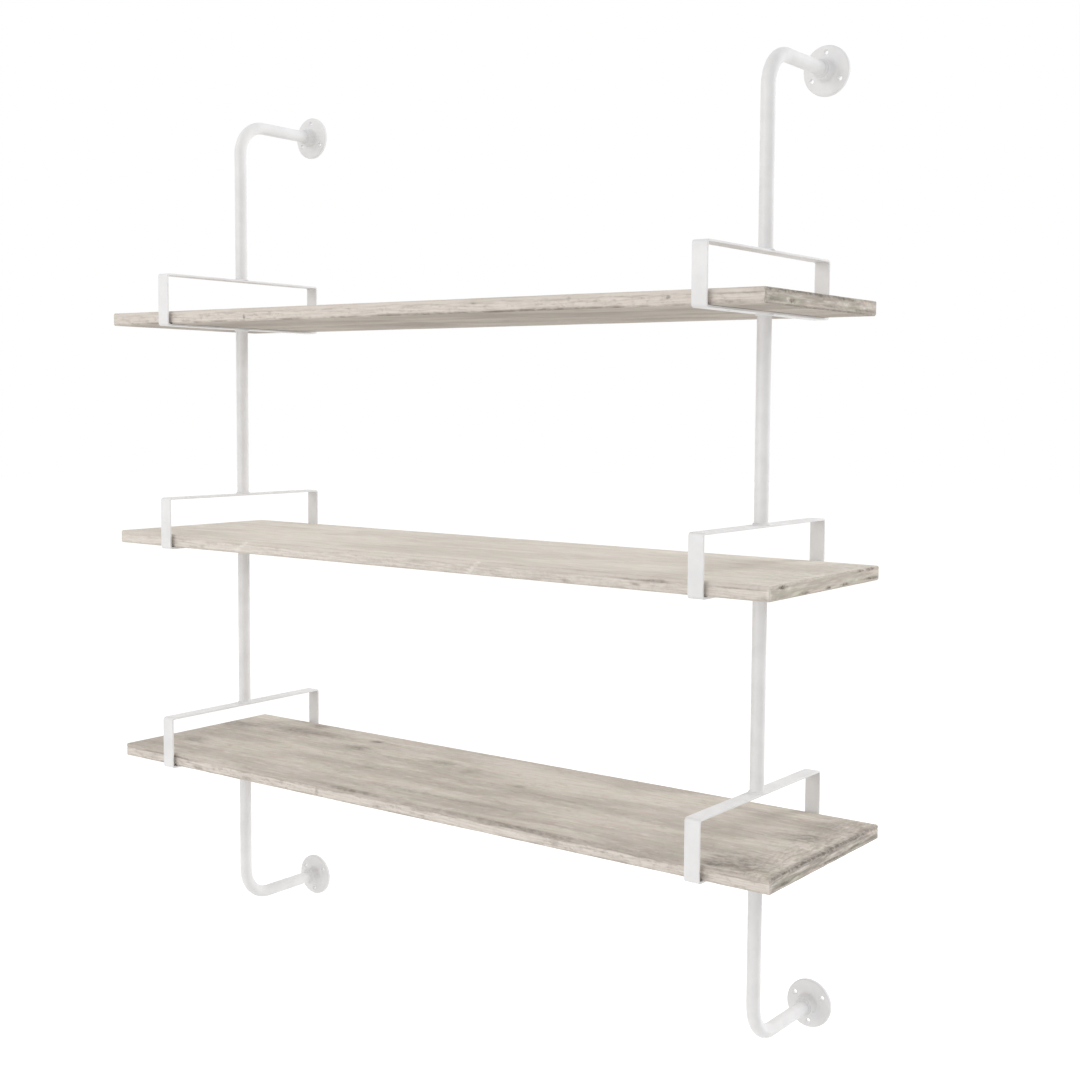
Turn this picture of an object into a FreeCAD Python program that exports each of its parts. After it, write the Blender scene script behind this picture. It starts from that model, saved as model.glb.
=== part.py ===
import FreeCAD, Part
import math
import os
from FreeCAD import Vector

# Wall shelf. Three wooden boards lie in six closed loops of bent flat bar. The loops are welded
# to two posts of round tube, and each post ends above and below in a hook whose flange is
# screwed to the wall.
# The origin is on the wall, midway between the four flanges. +X is to the right for someone
# who faces the wall, +Y goes into the wall and +Z is up. Sizes are in millimetres.

# Boards
board_length = 1200.0
board_depth = 300.0
board_thickness = 20.0
board_edge_radius = 1.6
shelf_pitch = 350.0
# Each board was slid a little to the left in its loops before it was screwed down.
top_board_shift = 24.0
middle_board_shift = 12.0
bottom_board_shift = 5.0

# Flat bar loops
flat_width = 22.0
flat_thickness = 3.0
flat_edge_radius = 0.6
bend_inner_radius = 2.0
# The clear height between a board and the upper bar of its loops
loop_headroom = 55.0
# The play between a board's long edges and the uprights before and behind it
front_play = 5.0
rear_play = 8.0
# The space between the rear uprights and the wall
wall_gap = 2.0
# From each end of a centred board to the middle of its loops
post_inset = 110.0

# Round tube of the posts and hooks
tube_diameter = 19.0
tube_wall = 1.5
hook_bend_radius = 48.0
# From the nearest loop to the middle of a hook's arm
hook_reach = 252.5

# Weld beads
bead_leg = 2.4
bead_crown_share = 0.62

# Wall flanges
flange_diameter = 68.0
flange_thickness = 5.0
flange_rim_radius = 2.0
hub_wall = 3.6
hub_draft = 1.2
hub_length = 15.0
hub_root_radius = 4.0
hub_mouth_chamfer = 0.8
socket_play = 0.1
socket_shoulder_width = 2.0
socket_shoulder_height = 3.0
wall_hole_count = 3
wall_hole_diameter = 6.0
wall_hole_edge_distance = 9.5
wall_hole_rim_chamfer = 0.5

# Countersunk wood screws, driven up through the lower bars into the boards
screw_diameter = 4.0
screw_head_diameter = 8.0
screw_play = 0.25
screw_tip_length = 3.5
screw_bite_share = 0.7
screw_place_share = 0.3
recess_width = 1.0
recess_span = 4.4
recess_depth = 1.5

# Sizes and places that follow from the ones above
full_turn = 360
tube_radius = tube_diameter / 2
tube_bore_radius = tube_radius - tube_wall
post_spacing = board_length - 2 * post_inset
loop_inside_depth = front_play + board_depth + rear_play
loop_depth = loop_inside_depth + 2 * flat_thickness
loop_rise = loop_headroom + flat_thickness
loop_drop = board_thickness + flat_thickness
post_y = -(wall_gap + loop_depth / 2)
board_front_y = -(wall_gap + flat_thickness + rear_play + board_depth)
stack_height = 2 * shelf_pitch + loop_rise + loop_drop
hook_spacing = stack_height + 2 * hook_reach
bottom_shelf_z = loop_drop + hook_reach - hook_spacing / 2
socket_radius = tube_radius + socket_play
hub_mouth_radius = socket_radius + hub_wall
hub_base_radius = hub_mouth_radius + hub_draft
hub_height = flange_thickness + hub_length
wall_hole_circle_radius = flange_diameter / 2 - wall_hole_edge_distance
screw_radius = screw_diameter / 2
screw_head_depth = (screw_head_diameter - screw_diameter) / 2
screw_length = flat_thickness + screw_bite_share * board_thickness

# Name, height of the board's upper face, and how far the board is slid along its loops
levels = [
    ("top", bottom_shelf_z + 2 * shelf_pitch, -top_board_shift),
    ("middle", bottom_shelf_z + shelf_pitch, -middle_board_shift),
    ("bottom", bottom_shelf_z, -bottom_board_shift),
]
sides = [("left", -post_spacing / 2), ("right", post_spacing / 2)]
across = Vector(1, 0, 0)
into_wall = Vector(0, 1, 0)
up = Vector(0, 0, 1)
nothing = Vector(0, 0, 0)


def closed_face(corners):
    return Part.Face(Part.makePolygon(corners + [corners[0]]))


def arc(start, middle, end):
    return Part.Arc(start, middle, end).toShape()


def line(start, end):
    return Part.LineSegment(start, end).toShape()


def revolved(edges, axis):
    return Part.Face(Part.Wire(edges)).revolve(nothing, axis, full_turn)


def quarter_middle(centre, radius, first, second):
    # The middle of the quarter turn between two unit directions
    return centre + (first + second) * (radius * math.sqrt(0.5))


def screw_places():
    # The two places along a loop's lower bar, measured from its middle
    return [-screw_place_share * board_depth, screw_place_share * board_depth]


# Flat bar loops

def rounded_block(inset, corner_radius):
    # What one outline of the loop encloses. The loop's board has its upper face at height zero.
    block = Part.makeBox(
        flat_width,
        loop_depth - 2 * inset,
        loop_drop + loop_rise - 2 * inset,
        Vector(-flat_width / 2, inset - loop_depth / 2, inset - loop_drop),
    )
    corners = [edge for edge in block.Edges if edge.BoundBox.XLength > flat_width / 2]
    return block.makeFillet(corner_radius, corners)


def flat_bar_loop():
    outer = rounded_block(0, bend_inner_radius + flat_thickness)
    loop = outer.cut(rounded_block(flat_thickness, bend_inner_radius))
    # The rolled edges of the bar are eased all the way round on both of its sides.
    rims = [edge for edge in loop.Edges if edge.BoundBox.XLength < flat_edge_radius]
    loop = loop.makeFillet(flat_edge_radius, rims)
    for y in screw_places():
        foot = Vector(0, y, -loop_drop)
        drill = Part.makeCylinder(screw_radius + screw_play, flat_thickness, foot, up)
        sink = Part.makeCone(screw_head_diameter / 2, screw_radius, screw_head_depth, foot, up)
        loop = loop.cut(drill.fuse(sink))
    return loop


# Round tube

def tube_along(path, start, direction):
    skins = []
    for radius in (tube_radius, tube_bore_radius):
        ring = Part.Wire([Part.makeCircle(radius, start, direction)])
        skins.append(path.makePipeShell([ring], True, False))
    return skins[0].cut(skins[1])


def post_tube():
    # One straight length, from height zero up to the next loop
    length = shelf_pitch - loop_rise - loop_drop
    outer = Part.makeCylinder(tube_radius, length)
    return outer.cut(Part.makeCylinder(tube_bore_radius, length))


def hook_tube():
    # From a loop at height zero, up and round to the shoulder in the flange's socket
    foot = Vector(0, post_y, 0)
    bend_start = Vector(0, post_y, hook_reach - hook_bend_radius)
    centre = bend_start + into_wall * hook_bend_radius
    bend_end = centre + up * hook_bend_radius
    arm_end = Vector(0, -socket_shoulder_height, hook_reach)
    path = Part.Wire([
        line(foot, bend_start),
        arc(bend_start, quarter_middle(centre, hook_bend_radius, -into_wall, up), bend_end),
        line(bend_end, arm_end),
    ])
    return tube_along(path, foot, up)


# Weld beads

def weld_bead(base, direction):
    # A full bead round the tube, on the face at base, growing along direction
    inner = Vector(tube_radius, 0, 0)
    outer = Vector(tube_radius + bead_leg, 0, 0)
    top = Vector(tube_radius, 0, bead_leg)
    crown = inner + Vector(bead_leg, 0, bead_leg) * bead_crown_share
    bead = revolved([line(inner, outer), arc(outer, crown, top), line(top, inner)], up)
    bead.Placement = FreeCAD.Placement(base, FreeCAD.Rotation(up, direction))
    return bead


# Wall flanges

def wall_flange():
    # The flange's back is at y zero. One of its holes points straight up.
    rim = flange_diameter / 2
    bore = socket_radius - socket_shoulder_width
    rim_centre = Vector(rim - flange_rim_radius, 0, flange_thickness - flange_rim_radius)
    root_centre = Vector(hub_base_radius + hub_root_radius, 0, flange_thickness + hub_root_radius)
    points = [
        Vector(bore, 0, 0),
        Vector(rim, 0, 0),
        rim_centre + across * flange_rim_radius,
        rim_centre + up * flange_rim_radius,
        root_centre - up * hub_root_radius,
        root_centre - across * hub_root_radius,
        Vector(hub_mouth_radius, 0, hub_height - hub_mouth_chamfer),
        Vector(hub_mouth_radius - hub_mouth_chamfer, 0, hub_height),
        Vector(socket_radius, 0, hub_height),
        Vector(socket_radius, 0, socket_shoulder_height),
        Vector(bore, 0, socket_shoulder_height),
    ]
    rounds = {
        2: quarter_middle(rim_centre, flange_rim_radius, across, up),
        4: quarter_middle(root_centre, hub_root_radius, -across, -up),
    }
    edges = []
    for index, start in enumerate(points):
        end = points[(index + 1) % len(points)]
        edges.append(arc(start, rounds[index], end) if index in rounds else line(start, end))
    flange = revolved(edges, up)
    for number in range(wall_hole_count):
        turn = FreeCAD.Rotation(up, full_turn * number / wall_hole_count)
        centre = turn.multVec(Vector(0, wall_hole_circle_radius, 0))
        hole = Part.makeCylinder(wall_hole_diameter / 2, flange_thickness, centre, up)
        mouth = Part.makeCone(
            wall_hole_diameter / 2,
            wall_hole_diameter / 2 + wall_hole_rim_chamfer,
            wall_hole_rim_chamfer,
            centre + up * (flange_thickness - wall_hole_rim_chamfer),
            up,
        )
        flange = flange.cut(hole.fuse(mouth))
    # The turned profile grew along +Z, and a flange grows out of the wall along -Y.
    flange.rotate(nothing, across, full_turn / 4)
    return flange


# Boards and their screws

def board_screw():
    # A screw whose head is flush with height zero and whose tip points up
    head = screw_head_diameter / 2
    profile = [
        nothing,
        Vector(head, 0, 0),
        Vector(screw_radius, 0, screw_head_depth),
        Vector(screw_radius, 0, screw_length - screw_tip_length),
        Vector(0, 0, screw_length),
    ]
    screw = closed_face(profile).revolve(nothing, up, full_turn)
    for length, width in ((recess_span, recess_width), (recess_width, recess_span)):
        screw = screw.cut(Part.makeBox(length, width, recess_depth, Vector(-length / 2, -width / 2, 0)))
    return screw


def screw_group(height):
    screws = []
    for _, x in sides:
        for y in screw_places():
            screws.append(board_screw().translated(Vector(x, post_y + y, height - loop_drop)))
    return Part.makeCompound(screws)


def shelf_board(height, shift):
    corner = Vector(shift - board_length / 2, board_front_y, height - board_thickness)
    board = Part.makeBox(board_length, board_depth, board_thickness, corner)
    board = board.makeFillet(board_edge_radius, board.Edges)
    for _, x in sides:
        for y in screw_places():
            foot = Vector(x, post_y + y, height - board_thickness)
            straight = screw_length - flat_thickness - screw_tip_length
            pilot = Part.makeCylinder(screw_radius, straight, foot, up)
            point = Part.makeCone(screw_radius, 0, screw_tip_length, foot + up * straight, up)
            board = board.cut(pilot.fuse(point))
    return board


# The whole shelf, node by node

def upside_down(shape):
    return shape.mirror(nothing, up)


def build():
    nodes = {}
    top_z = levels[0][1] + loop_rise
    bottom_z = levels[-1][1] - loop_drop
    for level, height, shift in levels:
        nodes[f"shelf_board_{level}"] = shelf_board(height, shift)
        nodes[f"board_screws_{level}"] = screw_group(height)
    for side, x in sides:
        for level, height, _ in levels:
            middle = Vector(x, post_y, height)
            nodes[f"shelf_loop_{side}_{level}"] = flat_bar_loop().translated(middle)
            beads = [
                weld_bead(middle + up * loop_rise, up),
                weld_bead(middle - up * loop_drop, -up),
            ]
            nodes[f"weld_beads_{side}_{level}"] = Part.makeCompound(beads)
        for name, lower in (("upper", levels[1]), ("lower", levels[2])):
            foot = Vector(x, post_y, lower[1] + loop_rise)
            nodes[f"post_tube_{side}_{name}"] = post_tube().translated(foot)
        upper_arm = Vector(x, 0, hook_spacing / 2)
        lower_arm = Vector(x, 0, -hook_spacing / 2)
        nodes[f"hook_tube_{side}_top"] = hook_tube().translated(Vector(x, 0, top_z))
        nodes[f"hook_tube_{side}_bottom"] = upside_down(hook_tube()).translated(Vector(x, 0, bottom_z))
        nodes[f"wall_flange_{side}_top"] = wall_flange().translated(upper_arm)
        nodes[f"wall_flange_{side}_bottom"] = upside_down(wall_flange()).translated(lower_arm)
        for level, arm in (("top", upper_arm), ("bottom", lower_arm)):
            mouth = arm - into_wall * hub_height
            nodes[f"flange_weld_{side}_{level}"] = weld_bead(mouth, -into_wall)
    return nodes


os.makedirs("parts", exist_ok=True)
for name, shape in build().items():
    if not shape.isValid():
        raise ValueError(f"{name} isn't a valid shape")
    shape.exportStep(f"parts/{name}.step")
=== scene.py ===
import itertools
import math

import bpy
import numpy
from mathutils import Matrix, Vector


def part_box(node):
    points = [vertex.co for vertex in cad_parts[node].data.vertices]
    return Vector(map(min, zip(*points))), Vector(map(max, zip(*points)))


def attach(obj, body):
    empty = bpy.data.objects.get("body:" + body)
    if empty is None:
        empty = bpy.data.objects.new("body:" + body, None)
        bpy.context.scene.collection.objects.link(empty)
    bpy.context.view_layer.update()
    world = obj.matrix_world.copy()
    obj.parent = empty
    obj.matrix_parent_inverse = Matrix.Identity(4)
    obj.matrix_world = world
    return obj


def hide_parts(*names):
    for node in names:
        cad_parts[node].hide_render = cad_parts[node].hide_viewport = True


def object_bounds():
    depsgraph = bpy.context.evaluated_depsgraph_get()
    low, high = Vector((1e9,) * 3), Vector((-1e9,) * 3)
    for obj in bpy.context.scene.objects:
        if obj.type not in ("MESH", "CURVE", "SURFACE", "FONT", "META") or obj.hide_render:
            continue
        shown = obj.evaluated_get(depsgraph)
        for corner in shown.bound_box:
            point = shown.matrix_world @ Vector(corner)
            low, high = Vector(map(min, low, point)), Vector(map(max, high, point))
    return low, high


# Looks of the wall shelf: three weathered, whitewashed boards in a white powder coated steel frame.
# Everything is in metres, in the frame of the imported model.

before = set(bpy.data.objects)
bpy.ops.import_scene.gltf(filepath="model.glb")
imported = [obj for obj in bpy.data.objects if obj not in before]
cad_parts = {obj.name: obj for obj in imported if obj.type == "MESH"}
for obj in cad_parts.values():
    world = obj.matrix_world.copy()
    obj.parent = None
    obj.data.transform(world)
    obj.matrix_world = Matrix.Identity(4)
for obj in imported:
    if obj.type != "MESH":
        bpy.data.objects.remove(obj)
cad_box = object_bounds()
MM = 0.001

# Camera, as it stood for the photograph
VIEW_AZIMUTH = 35.233
VIEW_DOWN = 4.106
VIEW_ROLL = 0.509
CAMERA_PLACE = Vector((1.4517, -1.8772, 0.1938))
IMAGE_SIDE = 1080
FOCAL_PIXELS = 1523.5
PRINCIPAL_POINT = (602.6, 513.3)
SENSOR = 36

# Studio
FLOOR_DROP = 0.95
FLOOR_SIDE = 60
FLOOR_TONE = (240, 240, 239)
FLOOR_GLOW = 0.42
AMBIENT_TONE = (255, 254, 253)
AMBIENT_STRENGTH = 0.77
WHITE = (1.0, 1.0, 1.0, 1.0)
LIGHT_AIM = Vector((0, -0.16, 0))
# Each lamp's place, its width, its watts, its tone, and whether it shows in the gloss of the steel
LAMPS = {
    "key_lamp": ((-2.2, -3.2, 2.5), 2.4, 16, (255, 252, 249), True),
    "front_lamp": ((-0.6, -4.2, 0.4), 2.6, 30, (255, 253, 251), True),
    "back_lamp": ((2.6, 3.4, 1.8), 2.4, 105, (252, 252, 252), False),
}

# Steel finishes: two tones each, the least and the most roughness, and how far apart the skin's pebbles are
COAT_TONES = ((234, 234, 235), (226, 226, 227))
COAT_ROUGHNESS = (0.38, 0.48)
COAT_PEBBLE = 1.1 * MM
ZINC_TONES = ((206, 204, 196), (168, 168, 164))
ZINC_ROUGHNESS = (0.28, 0.46)
ZINC_PEBBLE = 0.5 * MM
DRIFTS_PER_PEBBLE = 0.03
# Between which levels of a noise a roughness or a tone runs from end to end
NOISE_SPREAD = (0.3, 0.7)

# Board shapes
BOARD_ROUNDING = 2.4 * MM
ARRIS_STEPS = 4
MESH_STEPS = (4 * MM, 4.6 * MM, 1 * MM)
SWELL_DEPTH = 0.2 * MM
SWELL_SIZE = (90 * MM, 30 * MM, 30 * MM)
FIBRE_DEPTH = 0.14 * MM
FIBRE_SIZE = (70 * MM, 13 * MM, 3 * MM)
RUBBED_DEPTH = 1.3 * MM
RUBBED_SIZE = (42 * MM, 30 * MM, 16 * MM)
RUBBED_EVERYWHERE = 0.35
NICK_DEPTH = 2.6 * MM
NICK_SIZE = (11 * MM, 9 * MM, 7 * MM)
NICK_LEVEL = 0.42
NICK_OFF_ARRIS = 0.12
LIP_BELOW_TOP = 6.2 * MM
LIP_WAVER = 1.1 * MM
LIP_WAVER_SIZE = 80 * MM
LIP_HALF_WIDTH = 0.9 * MM
LIP_DEPTH = 0.7 * MM
# The seed of a board's shape is its own seed times the first and plus the second
SHAPE_SEED = (10, 0.5)
# How far that seed moves on for each kind of unevenness
FIBRE_SEED = 7
RUBBED_SEED = 13
NICK_SEED = 19
LIP_SEED = 29
# What scrambles a place's whole numbers into a level
PLACE_FACTORS = (73856093, 19349663, 83492791)
FIRST_SCRAMBLE = (1103515245, 12345)
LAST_SCRAMBLE = (69069, 1)
SCRAMBLE_SHIFT = 11
LEVELS = 0xFFFFFF

# Wood patterns: the streaks' length and width, and how many of the others go on one streak each way
STREAK_LENGTH = 105 * MM
STREAK_WIDTH = 6 * MM
FIBRES_PER_STREAK = (2.3, 4.1, 4.1)
STRETCHES_PER_STREAK = (0.45, 0.09, 0.09)
BLOTCHES_PER_STREAK = (3.6, 0.62, 0.62)
HEART_WAVER = 55 * MM
# Patterns along, across and through a board, in ups and downs a metre
HEART_WAVERS_PER_METRE = (2.2, 9.0, 9.0)
MOTTLES_PER_METRE = (85, 120, 190)
WEAR_PER_METRE = (150.0, 48.0, 150.0)
LIP_WAVERS_PER_METRE = (14.0, 1.0, 1.0)
EDGE_STREAKS_PER_METRE = (24.0, 300.0, 420.0)
SAW_MARKS_PER_METRE = (150.0, 20.0, 200.0)
FEATHERS_PER_METRE = (34.0, 200.0, 300.0)
FEATHER_REACH = 1.9
NOISE_MIDDLE = (0.5, 0.5, 0.5)
LIP_WAVER_SPREAD = (0.25, 0.75)
# The late wood's share of a ring
LATE_WOOD_FROM = 0.45
LATE_WOOD_TO = 0.92

# Where on its pattern an effect sets in, where it is full, and how strong it then is
EFFECTS = {
    "dark stretches": (0.36, 0.64, 1.0),
    "tints": (0.46, 0.68, 1.0),
    "bare wood": (0.60, 0.42, 1.0),
    "streaks": (0.52, 0.72, 1.0),
    "wash": (0.50, 0.68, 1.0),
    "wash off streaks": (0.66, 0.36, 1.0),
    "dark speckles": (0.52, 0.76, 1.0),
    "pale speckles": (0.54, 0.76, 1.0),
    "dark fibres": (0.5, 0.78, 0.13),
    "pale fibres": (0.5, 0.24, 0.11),
    "dark wear": (0.45, 0.62, 1.0),
    "pale wear": (0.5, 0.66, 1.0),
    "edge streaks": (0.35, 0.7, 1.0),
    "dark edge mottles": (0.5, 0.74, 1.0),
    "pale edge mottles": (0.52, 0.74, 1.0),
    "rosy edge mottles": (0.45, 0.7, 0.6),
    "dark edge streaks": (0.6, 0.75, 0.3),
    "whole line": (0.36, 0.6, 1.0),
    "painted shade at low edge": (0.42, 0.6, 1.0),
    "end smears": (0.34, 0.66, 1.0),
    "end tints": (0.48, 0.7, 0.9),
    "rubbed arris": (0.25, 0.9, 1.0),
    "rubbed off streaks": (0.58, 0.38, 1.0),
    "turned to the side": (0.45, 0.8, 1.0),
    "turned down": (0.0, -0.4, 1.0),
}
# Marks are from 0.55 to 1.25 times as strong as they are said to be, as the mottles go
MARK_MOTTLING = (0.36, 0.64, 0.55, 1.25)
MARK_EDGE = 1.35
# How deep a dent, in millimetres, begins to darken, is darkest, and by how much
DENT_DARKENS = (0.9, 2.2, 0.0, 0.5)
# The undersides were washed less, so their streaks stand out more
UNDERSIDE_STREAK = 0.42
UNDERSIDE_WASH = 0.3
END_WEAR = (1110 * MM, 1190 * MM)
END_RINGS = 0.35
LIP_SHADE = 0.5
EDGE_ROLLS_OVER = (-1.6 * MM, 1.4 * MM)
LINE_FADES = (2.0 * MM, 0.3 * MM)
# Painted shade: where the darkening along the bottom of a long edge sets in and where it is full
LOW_EDGE_PAINTED_SHADE = (-15.5 * MM, -19.0 * MM)
WOOD_ROUGHNESS = (0.68, 0.86)
WOOD_RELIEF = 0.5 * MM
RELIEF_OF_FIBRES = 0.6
RELIEF_OF_STREAKS = 0.5
RELIEF_OF_RINGS = 0.25
# The tints, which multiply the wood's own tone
ROSY = (252, 243, 243)
MOSSY = (247, 252, 243)
# A slanting scuff is a row of this many marks, each this deep and this high in millimetres, and this hard
SLASH_MARKS = 5
SLASH_DEPTH_AND_HEIGHT = (3, 2.6)
SLASH_HARDNESS = 0.3

# Weld beads
BEAD_RIPPLES = 34
BEAD_STEPS_PER_RIPPLE = 6.0
BEAD_RIPPLE_SHARE = 0.16
BEAD_RIPPLE_LEAN = 1.4
BEAD_CROWN_POWER = 1.38
BEAD_SECTION_STEPS = 8
# Steps of the section are whole numbers, told apart by less than half a step
BEAD_STEP_TOLERANCE = 0.4
BEAD_SEAM = 0.01 * MM


def linear(tone):
    """A colour written in the usual 0 to 255 steps, as the shaders take it."""
    parts = [step / 255 for step in tone]
    return [p / 12.92 if p <= 0.04045 else ((p + 0.055) / 1.055) ** 2.4 for p in parts] + [1.0]


class Nodes:
    """Adds nodes to one tree, each fed by plain values or by other nodes' sockets."""

    def __init__(self, tree):
        self.tree = tree

    def add(self, kind, feeds=None, **settings):
        node = self.tree.nodes.new(kind)
        for name, value in settings.items():
            setattr(node, name, value)
        for name, value in (feeds or {}).items():
            self.feed(node.inputs[name], value)
        return node

    def feed(self, socket, value):
        if isinstance(value, bpy.types.NodeSocket):
            self.tree.links.new(value, socket)
        else:
            socket.default_value = value

    def math(self, operation, first, second=0.0, clamp=False):
        node = self.add("ShaderNodeMath", {0: first, 1: second}, operation=operation, use_clamp=clamp)
        return node.outputs[0]

    def product(self, first, *others):
        for other in others:
            first = self.math("MULTIPLY", first, other)
        return first

    def vector(self, operation, first, second=(0, 0, 0)):
        node = self.add("ShaderNodeVectorMath", {0: first, 1: second}, operation=operation)
        return node.outputs["Value" if operation == "LENGTH" else "Vector"]

    def scaled(self, vector, scale):
        node = self.add("ShaderNodeVectorMath", {0: vector, "Scale": scale}, operation="SCALE")
        return node.outputs["Vector"]

    def axes(self, vector):
        return self.add("ShaderNodeSeparateXYZ", {0: vector}).outputs

    def channels(self, colour):
        return self.add("ShaderNodeSeparateColor", {0: colour}).outputs

    def ramp(self, value, low, high, start=0.0, end=1.0):
        """Runs smoothly from start to end while value runs from low to high."""
        feeds = {"Value": value, "From Min": low, "From Max": high, "To Min": start, "To Max": end}
        return self.add("ShaderNodeMapRange", feeds, interpolation_type="SMOOTHSTEP").outputs["Result"]

    def effect(self, name, pattern, share=1.0):
        """How much of an effect there is at each place of its pattern."""
        sets_in, full, strength = EFFECTS[name]
        return self.ramp(pattern, sets_in, full, 0.0, strength * share)

    def noise(self, vector, times=None, detail=3.0, roughness=0.55, lean=0.0):
        """Noise, times as fine each way if that is given: its level, and three levels as a colour."""
        if times:
            vector = self.vector("MULTIPLY", vector, times)
        feeds = {
            "Vector": vector, "Scale": 1.0, "Detail": detail, "Roughness": roughness, "Distortion": lean,
        }
        return self.add("ShaderNodeTexNoise", feeds).outputs

    def blend(self, amount, first, second, kind="MIX"):
        node = self.add("ShaderNodeMix", data_type="RGBA", blend_type=kind)
        colours = [socket for socket in node.inputs if socket.type == "RGBA"]
        for socket, value in zip([node.inputs[0]] + colours, (amount, first, second)):
            self.feed(socket, value)
        return next(socket for socket in node.outputs if socket.type == "RGBA")

    def toned(self, colour, amount, tone, kind="MIX"):
        """The colour, by an amount on its way to a plain tone."""
        return self.blend(amount, colour, linear(tone), kind)

    def group(self, tree, feeds):
        node = self.add("ShaderNodeGroup", node_tree=tree)
        for name, value in feeds.items():
            self.feed(node.inputs[name], value)
        return node.outputs


def start_group(name, inputs, outputs, kind="ShaderNodeTree"):
    """An empty node group with named sockets, its nodes and what comes in."""
    tree = bpy.data.node_groups.new(name, kind)
    for way, sockets in (("INPUT", inputs), ("OUTPUT", outputs)):
        for label, socket in sockets.items():
            tree.interface.new_socket(label, in_out=way, socket_type=f"NodeSocket{socket}")
    nodes = Nodes(tree)
    return tree, nodes, nodes.add("NodeGroupInput").outputs


def grain_group():
    """What the grain draws: long streaks, fine fibres, broad stretches, and blotches of three kinds."""
    inputs = {"Place": "Vector", "Streak length": "Float", "Streak width": "Float", "Seed": "Vector"}
    labels = ("Streaks", "Fibres", "Stretches", "Rosy", "Mossy", "Wash")
    tree, nodes, given = start_group("wood_grain", inputs, dict.fromkeys(labels, "Float"))
    moved = nodes.vector("ADD", given["Place"], given["Seed"])
    length, width = given["Streak length"], given["Streak width"]
    size = nodes.add("ShaderNodeCombineXYZ", {0: length, 1: width, 2: width})
    unit = nodes.vector("DIVIDE", moved, size.outputs[0])
    streaks = nodes.noise(unit, detail=3.0, roughness=0.6, lean=0.25)[0]
    fibres = nodes.noise(unit, FIBRES_PER_STREAK, detail=4.0, roughness=0.7)[0]
    stretches = nodes.noise(unit, STRETCHES_PER_STREAK, detail=3.0, roughness=0.45, lean=0.4)[0]
    blotches = nodes.noise(unit, BLOTCHES_PER_STREAK, detail=4.0, roughness=0.6, lean=0.3)[1]
    kinds = nodes.channels(blotches)
    nodes.add("NodeGroupOutput", dict(zip(labels, (streaks, fibres, stretches, *kinds))))
    return tree


def rings_group():
    """Growth rings round a heart line that runs along the board and wavers."""
    inputs = {
        "Place": "Vector", "Heart": "Vector", "Ring width": "Float", "Waver": "Float", "Seed": "Vector",
    }
    tree, nodes, given = start_group("growth_rings", inputs, {"Rings": "Float"})
    moved = nodes.vector("ADD", given["Place"], given["Seed"])
    drift = nodes.noise(moved, HEART_WAVERS_PER_METRE, detail=2.0)[1]
    drift = nodes.vector("SUBTRACT", drift, NOISE_MIDDLE)
    from_heart = nodes.vector("SUBTRACT", given["Place"], given["Heart"])
    across = nodes.vector("MULTIPLY", from_heart, (0.0, 1.0, 1.0))
    wavered = nodes.vector("ADD", across, nodes.scaled(drift, given["Waver"]))
    distance = nodes.math("DIVIDE", nodes.vector("LENGTH", wavered), given["Ring width"])
    age = nodes.math("FRACT", distance)
    # The late wood darkens slowly and ends sharply.
    late = nodes.ramp(age, LATE_WOOD_FROM, LATE_WOOD_TO)
    rings = nodes.product(late, nodes.ramp(age, LATE_WOOD_TO, 1.0, 1.0, 0.0))
    nodes.add("NodeGroupOutput", {"Rings": rings})
    return tree


def mark_group():
    """One stain, knot or bruise, or a patch of painted light or shade: an oval place whose edge is
    feathered along the grain.
    """
    inputs = {
        "Place": "Vector", "Centre": "Vector", "Reach": "Vector", "Feather": "Vector", "Hardness": "Float",
    }
    tree, nodes, given = start_group("wood_mark", inputs, {"Mark": "Float"})
    from_centre = nodes.vector("SUBTRACT", given["Place"], given["Centre"])
    ragged = nodes.vector("ADD", nodes.vector("DIVIDE", from_centre, given["Reach"]), given["Feather"])
    mark = nodes.ramp(nodes.vector("LENGTH", ragged), MARK_EDGE, given["Hardness"])
    nodes.add("NodeGroupOutput", {"Mark": mark})
    return tree


def paint_group():
    """The fine unevenness of a sprayed and baked coat."""
    inputs = {"Place": "Vector", "Pebble": "Float"}
    tree, nodes, given = start_group("coat_skin", inputs, {"Height": "Float", "Drift": "Float"})
    unit = nodes.scaled(given["Place"], nodes.math("DIVIDE", 1.0, given["Pebble"]))
    pebbles = nodes.noise(unit, detail=2.0, roughness=0.45)[0]
    drift = nodes.noise(nodes.scaled(unit, DRIFTS_PER_PEBBLE), detail=3.0, roughness=0.6)[0]
    nodes.add("NodeGroupOutput", {"Height": pebbles, "Drift": drift})
    return tree


WOOD_GRAIN = grain_group()
GROWTH_RINGS = rings_group()
WOOD_MARK = mark_group()
COAT_SKIN = paint_group()


def new_material(name, **sockets):
    """A material with a plain shader on it, the sockets given, its nodes and the object's own place."""
    material = bpy.data.materials.new(name)
    material.use_nodes = True
    material.node_tree.nodes.clear()
    nodes = Nodes(material.node_tree)
    feeds = {key.replace("_", " "): value for key, value in sockets.items()}
    shader = nodes.add("ShaderNodeBsdfPrincipled", feeds)
    nodes.add("ShaderNodeOutputMaterial", {"Surface": shader.outputs[0]})
    place = nodes.add("ShaderNodeTexCoord")
    return material, nodes, shader, place


# Steel finishes

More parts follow.
